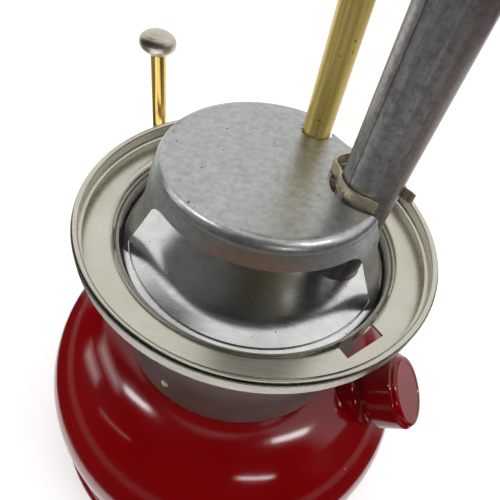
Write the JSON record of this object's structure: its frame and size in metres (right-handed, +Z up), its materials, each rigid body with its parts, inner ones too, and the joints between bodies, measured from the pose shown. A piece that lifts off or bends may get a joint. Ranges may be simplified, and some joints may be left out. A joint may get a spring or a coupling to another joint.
{
  "type": "gasoline lantern",
  "caption": "Pressure gasoline lantern: round fuel tank with hand pump and slanted filler, collar with a lipped globe rest, domed heat shield, generator and burner.",
  "frame": {"origin": "on the lantern's vertical axis, at the surface that its base stands on", "axes": "+Z up; -Y is the side of the plain label band; +X is the filler's side"},
  "size_m": [0.1442, 0.1442, 0.258],
  "materials": {
    "red_enamel": "glossy baked enamel",
    "nickel": "satin nickel plate",
    "galvanised": "satin galvanised sheet",
    "brass": "drawn brass, lightly aged",
    "steel": "bright steel",
    "band_steel": "satin plated sheet",
    "tube_steel": "drawn steel tube, heat dulled",
    "clip_steel": "spring steel with a straw tint",
    "cast_iron": "sand cast, heat dulled",
    "wheel_plastic": "moulded phenolic",
    "rubber": "moulded",
    "leather": "oiled",
    "liner_paper": "rolled paper tube"
  },
  "bodies": {
    "root": {"fount_shell": "red_enamel", "fount_bottom": "red_enamel", "filler_neck": "red_enamel", "pump_boss": "red_enamel", "pump_barrel": "brass", "pump_cap": "nickel", "check_valve": "brass", "air_stem": "brass", "fuel_tube": "brass", "valve_body": "brass", "clamp_nut": "brass", "packing_nut": "brass", "direction_disc": "nickel", "eccentric_block": "brass", "lever_gland": "brass", "jam_nut": "brass", "generator_tube": "brass", "generator_liner": "liner_paper", "gas_tip": "brass", "collar_band": "band_steel", "band_rivets": "brass", "globe_rest": "nickel", "inner_plate": "galvanised", "heat_shield": "galvanised", "tube_clip": "clip_steel", "air_tube": "tube_steel", "burner_head": "cast_iron", "burner_tube": "tube_steel", "burner_cap": "tube_steel", "burner_screen": "tube_steel", "top_stud": "steel"},
    "pump_piston": {"pump_cup": "leather", "cup_plate": "steel", "cup_retainer": "steel"},
    "pump_plunger": {"plunger_rod": "brass", "cup_nut": "brass", "pump_knob": "nickel"},
    "filler_seal": {"filler_gasket": "rubber"},
    "filler_cap": {"filler_cap": "red_enamel", "cap_insert": "brass"},
    "valve": {"valve_stem": "brass", "valve_wheel": "wheel_plastic", "wheel_screw": "nickel"},
    "cleaner_crank": {"cleaning_lever": "steel"},
    "cleaner_needle": {"cleaning_needle": "steel"},
    "check_ball": {"check_ball": "steel"}
  },
  "joints": [
    {"name": "pump_stroke", "type": "slide", "parent": "root", "child": "pump_piston", "axis": [0, 0, 1], "range_m": [-0.0548, 0]},
    {"name": "knob_turn", "type": "hinge", "parent": "pump_piston", "child": "pump_plunger", "pos_m": [-0.04247, 0.03906, 0.1], "axis": [0, 0, 1], "range_deg": [-360, 0]},
    {"name": "cap_turn", "type": "hinge", "parent": "filler_seal", "child": "filler_cap", "pos_m": [0.04955, -0.01765, 0.06489], "axis": [0.7084, -0.1249, 0.6947], "range_deg": [0, 1440]},
    {"name": "cap_lift", "type": "slide", "parent": "root", "child": "filler_seal", "axis": [0.7084, -0.1249, 0.6947], "range_m": [0, 0.0084]},
    {"name": "valve_turn", "type": "hinge", "parent": "root", "child": "valve", "pos_m": [0.02424, 0.04373, 0.09], "axis": [0.4848, 0.8746, 0], "range_deg": [0, 450]},
    {"name": "lever_turn", "type": "hinge", "parent": "root", "child": "cleaner_crank", "pos_m": [0.00965, 0.01741, 0.1055], "axis": [-0.1736, 0.9848, 0], "range_deg": [0, 90]},
    {"name": "needle_lift", "type": "slide", "parent": "root", "child": "cleaner_needle", "axis": [0, 0, 1], "range_m": [0, 0.00198]},
    {"name": "check_lift", "type": "slide", "parent": "root", "child": "check_ball", "axis": [0, 0, 1], "range_m": [0, 0.0008]}
  ],
  "couplings": [
    {"joint": "cap_lift", "follows": "cap_turn", "m_per_rad": 0.00033423},
    {"joint": "needle_lift", "follows": "lever_turn", "m_per_rad": 0.0012605}
  ]
}
